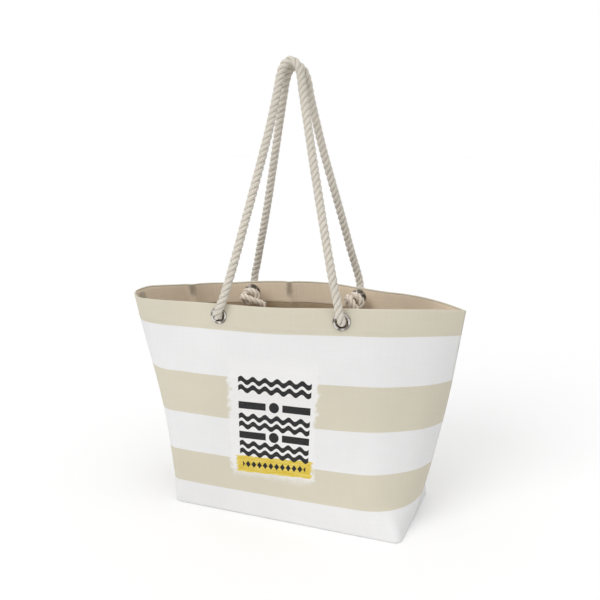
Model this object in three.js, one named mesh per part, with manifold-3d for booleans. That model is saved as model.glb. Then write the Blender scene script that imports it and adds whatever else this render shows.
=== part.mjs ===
// A canvas beach bag with a boxed base, four eyelets and two knotted rope handles.
// Millimetres, +Z up. The bag faces -Y and stands on its base at z = 0.
import * as THREE from "three";
import { mergeVertices } from "three/addons/utils/BufferGeometryUtils.js";
import Module from "manifold-3d";

const wasm = await Module();
wasm.setup();

// The mouth of the bag
const rimHalfLength = 240; // side seam to the middle of the bag
const rimFrontDepth = 88; // how far the front of the mouth stands out from the seams
const rimBackDepth = 84; // the same for the back
const rimSetBack = -3.4; // the seams' place along Y
const rimHeight = 311; // middle of the rim above the floor
const rimEndDrop = 11; // the rim is this much lower at its side seams
const leftRoundness = 0.6; // exponents of the mouth's outline: a full left end,
const rightRoundness = 0.9; // and a right end that closes to a point
const rimFullness = 2.2;

// The base
const baseHalfLength = 171;
const baseHalfDepth = 82;
const baseCornerRadius = 9;
const frontWallRadii = [16, 65]; // what the left and right corners grow to above the base
const backWallRadii = [16, 25];
const wallCornerUp = 0.15; // share of the height where they have grown to it
const baseShift = 12.6; // the base stands this far to the right of the mouth
const baseTurn = THREE.MathUtils.degToRad(-9); // and is turned this much under it
const panelBulge = 6; // how far the panels belly out between base and rim
const columns = 60; // facets round the bag, half of them on each panel

// The layers of cloth, from the outside in
const canvasThickness = 1.6;
const layerGap = 0.3;
const facingThickness = 1.2;
const facingHeight = 33; // the turned-in band inside the mouth
const liningThickness = 0.8;
const tapeThickness = 0.8;
const sideTapeTop = 0.985; // share of the height that the side tapes reach
const baseTapeHeight = 9;
const seamGap = 0.4; // between panels that are sewn edge to edge

// The eyelets
const eyeletSpacing = 166;
const eyeletDrop = 15; // centre of an eyelet below the rim
const eyeletRopeClearance = 1.9; // round the rope in the hole
const eyeletFlangeWidth = 3.7;
const eyeletWall = 0.6;
const eyeletFlangeThickness = 1.4;
const eyeletClearance = 0.4; // between an eyelet and the cloth round it
const washerThickness = 1;
const washerClearance = 0.9; // behind the facing, which curves towards the washer's edge

// The ropes
const ropeRadius = 6;
const ropeSides = 10;
const handleSteps = 60;
const knotInset = 22; // middle of a knot behind the outside of the cloth
const knotHalfSize = new THREE.Vector3(17, 12, 14);
const knotTailLength = 26;

// Centre line of each handle, from its left eyelet over the top to its right eyelet
const frontRoute = [
  [-83, -94.6, 296], [-79.5, -94.6, 306], [-74.2, -94, 319], [-70, -91.8, 333], [-64, -84.4, 357],
  [-51, -65.2, 418], [-37.4, -45.6, 482], [-25, -26.2, 545], [-18.2, -12.6, 590], [-16, -8, 607],
  [-11.2, -6.8, 620.4], [-2, -6.6, 626.3], [7.2, -6.8, 620.4], [11.8, -8, 607], [15, -12.6, 590],
  [25, -26.2, 545], [39, -45.6, 483], [54, -65.2, 419], [69, -84.4, 358], [75.6, -91.8, 333],
  [79.2, -94, 319], [81.4, -94.6, 306], [83, -94.6, 296],
];
const backRoute = [
  [-83, 92, 296], [-84, 92, 306], [-82.8, 91.8, 319], [-79, 89.2, 332], [-71.2, 80.4, 362],
  [-60.3, 68.2, 402], [-50.8, 57, 440], [-34.4, 36.4, 510], [-22.6, 21, 560], [-17, 14, 583],
  [-12.4, 9.4, 602], [-6.8, 7.4, 614.6], [2.4, 7, 620.6], [11.6, 7.4, 614.6], [16.8, 9.4, 602],
  [19.6, 14, 583], [23.6, 21, 560], [33.4, 36.4, 510], [50, 57, 440], [59, 68.2, 402],
  [68, 80.4, 362], [75.6, 89.2, 332], [79, 91.8, 319], [81.4, 92, 306], [83, 92, 296],
];

function material(color, roughness, metalness = 0) {
  return new THREE.MeshStandardMaterial({ color, roughness, metalness });
}

const stripedCanvas = material(0xdcd6c8, 0.9);
const plainCanvas = material(0xe6e3de, 0.9);
const facingCanvas = material(0xcfc4ae, 0.9);
const liningCloth = material(0xa08b72, 0.92);
const tapeCloth = material(0xc4b79f, 0.9);
const nickel = material(0xb9b7b2, 0.25, 1);
const cottonRope = material(0xcfc9b8, 0.85);

const bag = new THREE.Group();

function addNode(name, geometry, nodeMaterial) {
  const mesh = new THREE.Mesh(geometry, nodeMaterial);
  mesh.name = name;
  bag.add(mesh);
}

function toSolid(geometry) {
  const bare = geometry.index ? geometry.clone() : geometry;
  bare.deleteAttribute("normal");
  bare.deleteAttribute("uv");
  const merged = mergeVertices(bare, 1e-4);
  return new wasm.Manifold(new wasm.Mesh({
    numProp: 3,
    vertProperties: new Float32Array(merged.attributes.position.array),
    triVerts: new Uint32Array(merged.index.array),
  }));
}

function toGeometry(solid) {
  const mesh = solid.getMesh();
  const geometry = new THREE.BufferGeometry();
  geometry.setAttribute("position", new THREE.BufferAttribute(new Float32Array(mesh.vertProperties), 3));
  geometry.setIndex(Array.from(mesh.triVerts));
  geometry.computeVertexNormals();
  return geometry;
}

// Half of the mouth's outline, left seam to right seam; side is -1 for the front and 1 for the back
class RimHalf extends THREE.Curve {
  constructor(side) {
    super();
    this.side = side;
    this.depth = side < 0 ? rimFrontDepth : rimBackDepth;
  }

  getPoint(t, target = new THREE.Vector3()) {
    const along = -Math.cos(Math.PI * t);
    const rightness = THREE.MathUtils.smoothstep(along, -0.5, 0.5);
    const roundness = THREE.MathUtils.lerp(leftRoundness, rightRoundness, rightness);
    const out = Math.pow(Math.max(0, 1 - Math.pow(Math.abs(along), rimFullness)), roundness);
    return target.set(rimHalfLength * along, rimSetBack + this.side * this.depth * out, 0);
  }
}

// Half of the base's outline, from the middle of its left end to the middle of its right end,
// with a left and a right corner of their own radius
function baseHalf(side, [left, right]) {
  const x = baseHalfLength;
  const y = baseHalfDepth;
  const path = new THREE.Path();
  path.moveTo(-x, 0);
  path.lineTo(-x, y - left);
  path.absarc(-x + left, y - left, left, Math.PI, Math.PI / 2, true);
  path.lineTo(x - right, y);
  path.absarc(x - right, y - right, right, Math.PI / 2, 0, true);
  path.lineTo(x, 0);
  return (t) => {
    const point = path.getPointAt(t);
    const turned = new THREE.Vector3(point.x, side * point.y, 0);
    turned.applyAxisAngle(new THREE.Vector3(0, 0, 1), baseTurn);
    return turned.add(new THREE.Vector3(baseShift, 0, 0));
  };
}

// The bag's outer face. around runs 0 to 0.5 over the front, left seam to right seam, and on to 1
// back over the back; up runs 0 at the floor to 1 at the rim.
const rimHalves = [new RimHalf(-1), new RimHalf(1)];
const baseRadii = [baseCornerRadius, baseCornerRadius];
const baseHalves = [baseHalf(-1, baseRadii), baseHalf(1, baseRadii)];
const wallHalves = [baseHalf(-1, frontWallRadii), baseHalf(1, backWallRadii)];

function outerFace(around, up) {
  const turn = ((around % 1) + 1) % 1;
  const half = turn > 0.5 ? 1 : 0;
  const along = half ? 2 - 2 * turn : 2 * turn;
  const rim = rimHalves[half].getPointAt(along);
  const grown = THREE.MathUtils.smoothstep(up, 0, wallCornerUp);
  const point = baseHalves[half](along).lerp(wallHalves[half](along), grown).lerp(rim, up);
  const outward = new THREE.Vector2(point.x / rimHalfLength ** 2, point.y / baseHalfDepth ** 2);
  outward.normalize();
  const belly = panelBulge * 4 * up * (1 - up);
  const top = rimHeight - rimEndDrop * (rim.x / rimHalfLength) ** 2;
  return new THREE.Vector3(point.x + belly * outward.x, point.y + belly * outward.y, up * top);
}

// One ring of cloth at a height, moved this far in from the outer face with every facet kept parallel
function clothRing(up, inset) {
  const outer = Array.from({ length: columns }, (_, i) => outerFace(i / columns, up));
  return outer.map((point, i) => {
    const before = outer[(i + columns - 1) % columns];
    const after = outer[(i + 1) % columns];
    const first = new THREE.Vector2(before.y - point.y, point.x - before.x).normalize();
    const second = new THREE.Vector2(point.y - after.y, after.x - point.x).normalize();
    const inward = first.clone().add(second);
    inward.multiplyScalar(2 / inward.lengthSq());
    return new THREE.Vector3(point.x + inset * inward.x, point.y + inset * inward.y, point.z);
  });
}

// A closed sheet of cloth between two depths under the outer face, over a span of columns.
// Its two ends stop half a seam gap short, unless it goes all the way round.
function clothPatch({ span, ups, outer, thickness }) {
  const [from, to] = span;
  const steps = to - from;
  const isRing = steps === columns;
  const width = isRing ? steps : steps + 1;
  const positions = [];
  for (const inset of [outer, outer + thickness]) {
    for (const up of ups) {
      const ring = clothRing(up, inset);
      const row = Array.from({ length: width }, (_, i) => ring[(from + i + columns) % columns].clone());
      if (!isRing) {
        row[0].lerp(row[1], seamGap / 2 / row[0].distanceTo(row[1]));
        row[steps].lerp(row[steps - 1], seamGap / 2 / row[steps].distanceTo(row[steps - 1]));
      }
      row.forEach((point) => positions.push(...point.toArray()));
    }
  }
  const rows = ups.length - 1;
  const index = [];
  const vertex = (face, i, j) => (face * (rows + 1) + j) * width + (i % width);
  const quad = (a, b, c, d) => index.push(a, b, c, a, c, d);
  for (let i = 0; i < steps; i += 1) {
    for (let j = 0; j < rows; j += 1) {
      quad(vertex(0, i, j), vertex(0, i + 1, j), vertex(0, i + 1, j + 1), vertex(0, i, j + 1));
      quad(vertex(1, i, j), vertex(1, i, j + 1), vertex(1, i + 1, j + 1), vertex(1, i + 1, j));
    }
    quad(vertex(0, i, rows), vertex(0, i + 1, rows), vertex(1, i + 1, rows), vertex(1, i, rows));
    quad(vertex(0, i, 0), vertex(1, i, 0), vertex(1, i + 1, 0), vertex(0, i + 1, 0));
  }
  for (let j = 0; j < rows && !isRing; j += 1) {
    quad(vertex(0, 0, j), vertex(0, 0, j + 1), vertex(1, 0, j + 1), vertex(1, 0, j));
    quad(vertex(0, steps, j), vertex(1, steps, j), vertex(1, steps, j + 1), vertex(0, steps, j + 1));
  }
  const geometry = new THREE.BufferGeometry();
  geometry.setAttribute("position", new THREE.Float32BufferAttribute(positions, 3));
  geometry.setIndex(index);
  geometry.computeVertexNormals();
  return geometry;
}

// A flat sheet of cloth across the base, lying at a height and this far inside the outer face. Where the
// walls lean in it takes its outline from its upper face, and where they lean out from its lower face.
function baseSheet(inset, bottom, thickness) {
  const middle = new THREE.Vector2(baseShift, 0);
  const flatRing = (height) => {
    const ring = clothRing(height / rimHeight, inset);
    return ring.map(({ x, y }) => new THREE.Vector2(x, y));
  };
  const upper = flatRing(bottom + thickness);
  const outline = flatRing(bottom).map((lower, i) => (
    lower.distanceTo(middle) < upper[i].distanceTo(middle) ? lower : upper[i]
  ));
  const shape = new THREE.Shape(outline);
  const geometry = new THREE.ExtrudeGeometry(shape, { depth: thickness, bevelEnabled: false });
  return geometry.translate(0, 0, bottom);
}

// Where the four eyelets sit on the panels' top facets, each with its outward direction
const facingBottom = 1 - facingHeight / rimHeight;

function findEyelet(side, end) {
  const x = end * eyeletSpacing / 2;
  const lower = clothRing(facingBottom, 0);
  const upper = clothRing(1, 0);
  const share = 1 - eyeletDrop / facingHeight;
  const onCloth = lower.map((point, i) => point.clone().lerp(upper[i], share));
  const first = side < 0 ? 0 : columns / 2;
  let i = first;
  while ((onCloth[i].x - x) * (onCloth[i + 1].x - x) > 0) i += 1;
  const along = (x - onCloth[i].x) / (onCloth[i + 1].x - onCloth[i].x);
  const centre = onCloth[i].clone().lerp(onCloth[i + 1], along);
  const alongCloth = onCloth[i + 1].clone().sub(onCloth[i]);
  const upCloth = upper[i].clone().add(upper[i + 1]).sub(lower[i]).sub(lower[i + 1]);
  const outward = alongCloth.cross(upCloth).normalize();
  return { centre, outward };
}

const eyelets = {
  front_left: findEyelet(-1, -1),
  front_right: findEyelet(-1, 1),
  back_left: findEyelet(1, -1),
  back_right: findEyelet(1, 1),
};

// Turns a solid made round the Z axis so that +Z points out of the cloth at an eyelet
function seatOnEyelet(geometry, eyelet, depth) {
  const turn = new THREE.Quaternion().setFromUnitVectors(new THREE.Vector3(0, 0, 1), eyelet.outward);
  const place = eyelet.centre.clone().addScaledVector(eyelet.outward, depth);
  return geometry.applyMatrix4(new THREE.Matrix4().compose(place, turn, new THREE.Vector3(1, 1, 1)));
}

function lathe(profile, segments = 20) {
  const points = profile.map(([radius, height]) => new THREE.Vector2(radius, height));
  return new THREE.LatheGeometry(points, segments).rotateX(Math.PI / 2);
}

const eyeletHoleRadius = ropeRadius + eyeletRopeClearance;
const eyeletFlangeRadius = eyeletHoleRadius + eyeletFlangeWidth;
const eyeletNeckRadius = eyeletHoleRadius + eyeletWall;
const clothHoleRadius = eyeletNeckRadius + eyeletClearance;

function withEyeletHoles(geometry, names) {
  let solid = toSolid(geometry);
  for (const name of names) {
    const punch = new THREE.CylinderGeometry(clothHoleRadius, clothHoleRadius, 30, 28);
    punch.rotateX(Math.PI / 2);
    solid = solid.subtract(toSolid(seatOnEyelet(punch, eyelets[name], 0)));
  }
  return toGeometry(solid);
}

// Panels, facings and linings, front and back
const facingDepth = canvasThickness + layerGap;
const washerDepth = facingDepth + facingThickness + washerClearance;
const baseLiningInset = facingDepth + liningThickness + layerGap;
const baseTapeBottom = baseLiningInset / rimHeight;
const baseTapeTop = baseTapeBottom + baseTapeHeight / rimHeight;
const wallUps = [0.07, 0.15, 0.3, 0.45, 0.6, 0.75];
const bodyUps = [baseTapeBottom, baseTapeTop, ...wallUps];

for (const [side, first] of [["front", 0], ["back", columns / 2]]) {
  const span = [first, first + columns / 2];
  const holes = [`${side}_left`, `${side}_right`];
  const panelUps = [0, ...bodyUps, facingBottom, 1];
  const panel = clothPatch({ span, ups: panelUps, outer: 0, thickness: canvasThickness });
  addNode(`${side}_panel`, withEyeletHoles(panel, holes), stripedCanvas);
  const facingUps = [facingBottom, 1];
  const facing = clothPatch({ span, ups: facingUps, outer: facingDepth, thickness: facingThickness });
  addNode(`${side}_facing`, withEyeletHoles(facing, holes), facingCanvas);
  const liningUps = [facingDepth / rimHeight, ...bodyUps, facingBottom - layerGap / rimHeight];
  const lining = clothPatch({ span, ups: liningUps, outer: facingDepth, thickness: liningThickness });
  addNode(`${side}_lining`, lining, liningCloth);
}

// The base and its lining
addNode("base_panel", baseSheet(facingDepth, 0, canvasThickness), plainCanvas);
addNode("base_lining", baseSheet(baseLiningInset, facingDepth, liningThickness), liningCloth);

// Tapes that bind the seams inside
const tapeDepth = facingDepth + Math.max(facingThickness, liningThickness) + layerGap;
for (const [side, seam] of [["left", 0], ["right", columns / 2]]) {
  const tape = clothPatch({
    span: [seam - 1, seam + 1],
    ups: [baseTapeTop + layerGap / rimHeight, ...wallUps, facingBottom, sideTapeTop],
    outer: tapeDepth,
    thickness: tapeThickness,
  });
  addNode(`${side}_seam_tape`, tape, tapeCloth);
}
const baseTape = clothPatch({
  span: [0, columns], ups: [baseTapeBottom, baseTapeTop], outer: tapeDepth, thickness: tapeThickness,
});
addNode("base_seam_tape", baseTape, tapeCloth);

// Each eyelet is a flanged barrel from the outside and a washer on the inside
function eyeletBarrel() {
  const foot = -washerDepth - washerThickness;
  return lathe([
    [eyeletHoleRadius, foot],
    [eyeletNeckRadius, foot],
    [eyeletNeckRadius, eyeletClearance],
    [eyeletFlangeRadius, eyeletClearance],
    [eyeletFlangeRadius - 0.2, eyeletClearance + 0.6],
    [(eyeletFlangeRadius + eyeletHoleRadius) / 2, eyeletClearance + eyeletFlangeThickness],
    [eyeletHoleRadius + 0.3, eyeletClearance + 0.8],
    [eyeletHoleRadius, eyeletClearance],
    [eyeletHoleRadius, foot],
  ]);
}

function eyeletWasher() {
  const inner = eyeletNeckRadius + layerGap;
  const outer = eyeletFlangeRadius;
  return lathe([
    [inner, 0],
    [inner, -washerThickness],
    [outer, -washerThickness],
    [outer, 0],
    [inner, 0],
  ]);
}

for (const [name, eyelet] of Object.entries(eyelets)) {
  addNode(`${name}_eyelet`, seatOnEyelet(eyeletBarrel(), eyelet, 0), nickel);
  addNode(`${name}_washer`, seatOnEyelet(eyeletWasher(), eyelet, -washerDepth - layerGap), nickel);
}

// Rope: a round section pushed along a curve, with round ends
const ropeSection = new THREE.Shape();
for (let i = 0; i < ropeSides; i += 1) {
  const angle = 2 * Math.PI * i / ropeSides;
  const point = [ropeRadius * Math.cos(angle), ropeRadius * Math.sin(angle)];
  if (i === 0) ropeSection.moveTo(...point);
  else ropeSection.lineTo(...point);
}

function ropeAlong(points, steps) {
  const curve = new THREE.CatmullRomCurve3(points, false, "centripetal");
  const sweep = { steps, bevelEnabled: false, extrudePath: curve };
  return toSolid(new THREE.ExtrudeGeometry(ropeSection, sweep));
}

function ball(centre, size) {
  const geometry = new THREE.SphereGeometry(1, 12, 8);
  return toSolid(geometry.scale(size.x, size.y, size.z).translate(centre.x, centre.y, centre.z));
}

const ropeEnd = new THREE.Vector3(ropeRadius, ropeRadius, ropeRadius);

for (const [side, route] of [["front", frontRoute], ["back", backRoute]]) {
  const points = route.map((point) => new THREE.Vector3(...point));
  const ends = [points[0], points.at(-1)].map((point) => ball(point, ropeEnd));
  const loop = ropeAlong(points, handleSteps).add(ends[0]).add(ends[1]);
  addNode(`${side}_rope`, toGeometry(loop), cottonRope);
}

// The fixed end of each rope: through the eyelet, into a stopper knot, with a short tail
for (const [name, eyelet] of Object.entries(eyelets)) {
  const mouthOut = eyeletClearance + eyeletFlangeThickness;
  const mouth = eyelet.centre.clone().addScaledVector(eyelet.outward, mouthOut);
  const knot = eyelet.centre.clone().addScaledVector(eyelet.outward, -knotInset);
  const tail = knot.clone().add(new THREE.Vector3(knotTailLength, 0, -knotTailLength / 2));
  const neck = ropeAlong([mouth, mouth.clone().lerp(knot, 0.5), knot], 2);
  const end = ropeAlong([knot, knot.clone().lerp(tail, 0.5), tail], 3);
  addNode(`${name}_knot`, toGeometry(neck.add(ball(knot, knotHalfSize)).add(end)), cottonRope);
}

export default bag;
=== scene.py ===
# A canvas beach bag with laid rope handles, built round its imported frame. Metres, +Z up, front on -Y.
import math

import bpy
import numpy as np
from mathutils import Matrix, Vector


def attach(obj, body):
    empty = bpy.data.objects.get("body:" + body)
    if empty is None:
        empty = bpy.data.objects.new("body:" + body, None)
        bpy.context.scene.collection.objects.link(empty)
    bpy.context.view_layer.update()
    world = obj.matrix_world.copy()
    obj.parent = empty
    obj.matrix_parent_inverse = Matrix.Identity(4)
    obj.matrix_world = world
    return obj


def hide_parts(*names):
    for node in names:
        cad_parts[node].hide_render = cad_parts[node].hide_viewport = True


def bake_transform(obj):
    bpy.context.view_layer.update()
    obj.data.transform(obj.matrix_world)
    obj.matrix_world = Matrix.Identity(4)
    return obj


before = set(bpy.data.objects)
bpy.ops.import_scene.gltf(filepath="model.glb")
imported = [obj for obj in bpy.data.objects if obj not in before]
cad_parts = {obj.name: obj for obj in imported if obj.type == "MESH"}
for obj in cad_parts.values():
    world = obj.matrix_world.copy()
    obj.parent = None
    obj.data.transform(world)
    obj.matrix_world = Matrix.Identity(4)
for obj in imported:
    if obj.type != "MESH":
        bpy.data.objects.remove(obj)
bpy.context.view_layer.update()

mm = 0.001
scene = bpy.context.scene
scene.view_settings.view_transform = "Standard"


class Wiring:
    # short ways to place and join nodes in one tree
    def __init__(self, tree):
        self.tree = tree

    def node(self, kind, **settings):
        made = self.tree.nodes.new(kind)
        for key, value in settings.items():
            setattr(made, key, value)
        return made

    def plug(self, socket, value):
        if isinstance(value, bpy.types.NodeSocket):
            self.tree.links.new(value, socket)
        else:
            socket.default_value = value

    def fill(self, made, *ordered, **named):
        # gives a node its inputs, in order or by name
        for socket, value in zip(made.inputs, ordered):
            self.plug(socket, value)
        for key, value in named.items():
            self.plug(made.inputs[key], value)
        return made.outputs

    def math(self, operation, a, b=0.0, c=0.0, clamp=False):
        return self.fill(self.node("ShaderNodeMath", operation=operation, use_clamp=clamp), a, b, c)[0]

    def times(self, a, b):
        return self.math("MULTIPLY", a, b)

    def plus(self, a, b, clamp=False):
        return self.math("ADD", a, b, clamp=clamp)

    def minus(self, a, b):
        return self.math("SUBTRACT", a, b)

    def linear(self, value, slope, start):
        return self.math("MULTIPLY_ADD", value, slope, start)

    def ridges(self, value, count=1):
        # round ridges, so many to each unit of the value
        return self.math("ABSOLUTE", self.math("SINE", self.times(value, count * math.pi)))

    def split(self, vector):
        return self.fill(self.node("ShaderNodeSeparateXYZ"), vector)

    def place(self, uvMap):
        return self.node("ShaderNodeUVMap", uv_map=uvMap).outputs["UV"]

    def spot(self, space="Object"):
        return self.node("ShaderNodeTexCoord").outputs[space]

    def ramp(self, value, low, high, start=0.0, end=1.0):
        made = self.node("ShaderNodeMapRange", interpolation_type="SMOOTHSTEP")
        return self.fill(made, value, low, high, start, end)["Result"]

    def noise(self, vector, scale, detail=2.0, roughness=0.5):
        made = self.node("ShaderNodeTexNoise")
        return self.fill(made, Vector=vector, Scale=scale, Detail=detail, Roughness=roughness)["Fac"]

    def stretch(self, vector, scale):
        return self.fill(self.node("ShaderNodeVectorMath", operation="MULTIPLY"), vector, scale)[0]

    def mix(self, share, first, second, blend="MIX"):
        made = self.node("ShaderNodeMix", data_type="RGBA", blend_type=blend)
        self.plug(made.inputs["Factor"], share)
        for socket, value in ((made.inputs[6], first), (made.inputs[7], second)):
            self.plug(socket, value if isinstance(value, bpy.types.NodeSocket) else (*value, 1))
        return made.outputs[2]

    def group(self, tree, **values):
        return self.fill(self.node("ShaderNodeGroup", node_tree=tree), **values)


cameraValues = {"place": (0.2431, -1.0505, 0.5455), "aim": (0.0097, -0.0034, 0.3021), "lens": 46.8}
studio = {
    "floorTone": 0.93,
    "floorReach": 12.0,
    "skyLow": 0.50,  # light from the walls of the studio
    "skyHigh": 0.86,  # light from its ceiling
    "suns": [  # name, direction the light comes from, softness in degrees, strength
        ("keySun", (-0.75, -1.25, 0.85), 38, 1.0),
        ("topSun", (0.2, -0.35, 1.0), 60, 0.55),
    ],
}


def link(thing):
    scene.collection.objects.link(thing)
    return thing


def makeCamera(values):
    data = bpy.data.cameras.new("camera")
    data.lens = values["lens"]
    camera = link(bpy.data.objects.new("camera", data))
    camera.location = values["place"]
    gaze = Vector(values["aim"]) - Vector(values["place"])
    camera.rotation_euler = gaze.to_track_quat("-Z", "Y").to_euler()
    scene.camera = camera


def makeStudio(values):
    world = bpy.data.worlds.new("studioWorld")
    world.use_nodes = True
    scene.world = world
    w = Wiring(world.node_tree)
    glow = w.ramp(w.split(w.spot("Generated"))["Z"], 0.0, 0.9, values["skyLow"], values["skyHigh"])
    seen = w.node("ShaderNodeLightPath").outputs["Is Camera Ray"]
    w.plug(world.node_tree.nodes["Background"].inputs["Strength"], w.math("MAXIMUM", glow, seen))
    world.node_tree.nodes["Background"].inputs["Color"].default_value = (1, 1, 1, 1)
    for name, source, softness, strength in values["suns"]:
        data = bpy.data.lights.new(name, "SUN")
        data.angle = math.radians(softness)
        data.energy = strength
        sun = link(bpy.data.objects.new(name, data))
        sun.rotation_euler = (-Vector(source)).to_track_quat("-Z", "Y").to_euler()
    reach = values["floorReach"]
    mesh = bpy.data.meshes.new("floor")
    corners = [(-reach, -reach, 0), (reach, -reach, 0), (reach, reach, 0), (-reach, reach, 0)]
    mesh.from_pydata(corners, [], [(0, 1, 2, 3)])
    floor = link(bpy.data.objects.new("floor", mesh))
    paint = bpy.data.materials.new("floorPaint")
    paint.use_nodes = True
    shader = paint.node_tree.nodes["Principled BSDF"]
    shader.inputs["Base Color"].default_value = (*[values["floorTone"]] * 3, 1)
    shader.inputs["Roughness"].default_value = 0.9
    mesh.materials.append(paint)


makeCamera(cameraValues)
makeStudio(studio)
print("camera and studio ready")


def newGroup(name, inputs, outputs):
    tree = bpy.data.node_groups.new(name, "ShaderNodeTree")
    for key, value in inputs.items():
        kind = "NodeSocketVector" if value is None else "NodeSocketFloat"
        socket = tree.interface.new_socket(key, in_out="INPUT", socket_type=kind)
        if value is not None:
            socket.default_value = value
    for key in outputs:
        tree.interface.new_socket(key, in_out="OUTPUT", socket_type="NodeSocketFloat")
    wires = Wiring(tree)
    return tree, wires, wires.node("NodeGroupInput").outputs, wires.node("NodeGroupOutput").inputs


def makeWeaveGroup():
    # plain weave: one thread over, one thread under, with uneven thick threads both ways
    tree, w, given, result = newGroup("clothWeave", {"Place": None, "Threads": 1000.0}, ("Height", "Shade"))
    scaled = w.fill(w.node("ShaderNodeVectorMath", operation="SCALE"), given["Place"], Scale=given["Threads"])
    across, along = w.split(scaled[0])[:2]
    warp, weft = w.ridges(across), w.ridges(along)
    cells = w.plus(w.math("FLOOR", across), w.math("FLOOR", along))
    over = w.times(w.math("FRACT", w.times(cells, 0.5)), 2.0)
    crossing = w.fill(w.node("ShaderNodeMix", data_type="FLOAT"), over, warp, weft)[0]
    thickWarp = w.noise(w.stretch(given["Place"], (700, 22, 1)), 1.0, 1.0)
    thickWeft = w.noise(w.stretch(given["Place"], (22, 700, 1)), 1.0, 1.0)
    slubs = w.plus(thickWarp, thickWeft)
    w.plug(result["Height"], w.linear(slubs, 0.6, crossing))
    weaveShade = w.times(w.minus(crossing, 0.6), 0.35)
    w.plug(result["Shade"], w.plus(weaveShade, w.minus(slubs, 1.0)))
    return tree


def makeHandlingGroup():
    # slow, uneven change of tone from handling and folding, 0 to 1
    tree, w, given, result = newGroup("handling", {"Place": None, "Scale": 9.0}, ("Tone",))
    w.plug(result["Tone"], w.ramp(w.noise(given["Place"], given["Scale"], 3.0), 0.3, 0.7))
    return tree


clothWeave = makeWeaveGroup()
handling = makeHandlingGroup()


def newMaterial(name, roughness, metallic=0.0, sheen=0.0, sheenRoughness=0.5):
    material = bpy.data.materials.new(name)
    material.use_nodes = True
    shader = material.node_tree.nodes["Principled BSDF"]
    constants = {"Roughness": roughness, "Metallic": metallic, "Sheen Weight": sheen,
                 "Sheen Roughness": sheenRoughness}
    for key, value in constants.items():
        shader.inputs[key].default_value = value
    return material, Wiring(material.node_tree), shader


def scaleColor(w, color, amount):
    # colour times an amount that changes over the surface
    grey = w.fill(w.node("ShaderNodeCombineColor"), amount, amount, amount)[0]
    return w.mix(1.0, color, grey, "MULTIPLY")


def addBump(w, shader, height, strength, distance):
    bump = w.fill(w.node("ShaderNodeBump"), Strength=strength, Distance=distance, Height=height)
    w.plug(shader.inputs["Normal"], bump["Normal"])


clothValues = {
    "beige": (0.612, 0.568, 0.458),
    "white": (0.755, 0.75, 0.75),
    # lining: dark brown, partly its own colour and partly painted shade deep inside the bag
    "lining": (0.46, 0.345, 0.225),
    # facing: the canvas's beige raised brighter, partly its own warm colour and partly painted light inside
    # the mouth
    "facing": (0.86, 0.72, 0.55),
    "tape": (0.55, 0.48, 0.37),
    "thread": (0.70, 0.66, 0.57),
    "stripeEdges": (0.0385, 0.090, 0.149, 0.2105, 0.2755),  # heights up the cloth
    "threads": 1150.0,
    "weaveShade": 0.05,
    "toneShade": 0.05,
    "bumpStrength": 0.28,
    "bumpDistance": 0.00035,
}

# the print: rows of waves and bars over a brushed stroke, on a pale transfer film
printValues = {
    "middle": (0.0002, 0.1415),  # along the cloth from the middle of the front, and up
    "halfWidth": 0.054,
    "waveRows": (0.060, 0.007, -0.0338),
    "waveLength": 0.018,
    "waveSwell": 0.0026,
    "waveApart": 0.0059,  # each of a row's two waves from its middle
    "waveHalf": 0.0037,
    "barRows": (0.0303, -0.0134),
    "barHalf": 0.0052,
    "barStart": 0.0125,  # the bars' inner ends, either side of the pebble
    "pebble": 0.0075,  # its radius
    "strokeRow": -0.0565,
    "strokeHalf": 0.0125,
    "strokeTilt": -0.035,
    "strokeOver": 0.006,  # how far it passes the rows' ends
    "diamondApart": 0.0092,
    "diamondSlope": 85.0,
    "diamondSize": 0.44,
    "filmOver": 0.014,
    "filmMiddle": -0.003,
    "filmBottom": (-0.082, -0.062),  # heights between which the film fades out
    "filmTop": (0.084, 0.108),
    "charcoal": (0.010, 0.010, 0.011),
    "mustard": (0.62, 0.445, 0.035),
    "paleMustard": (0.78, 0.63, 0.17),
    "film": (0.785, 0.78, 0.775),
}


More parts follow.
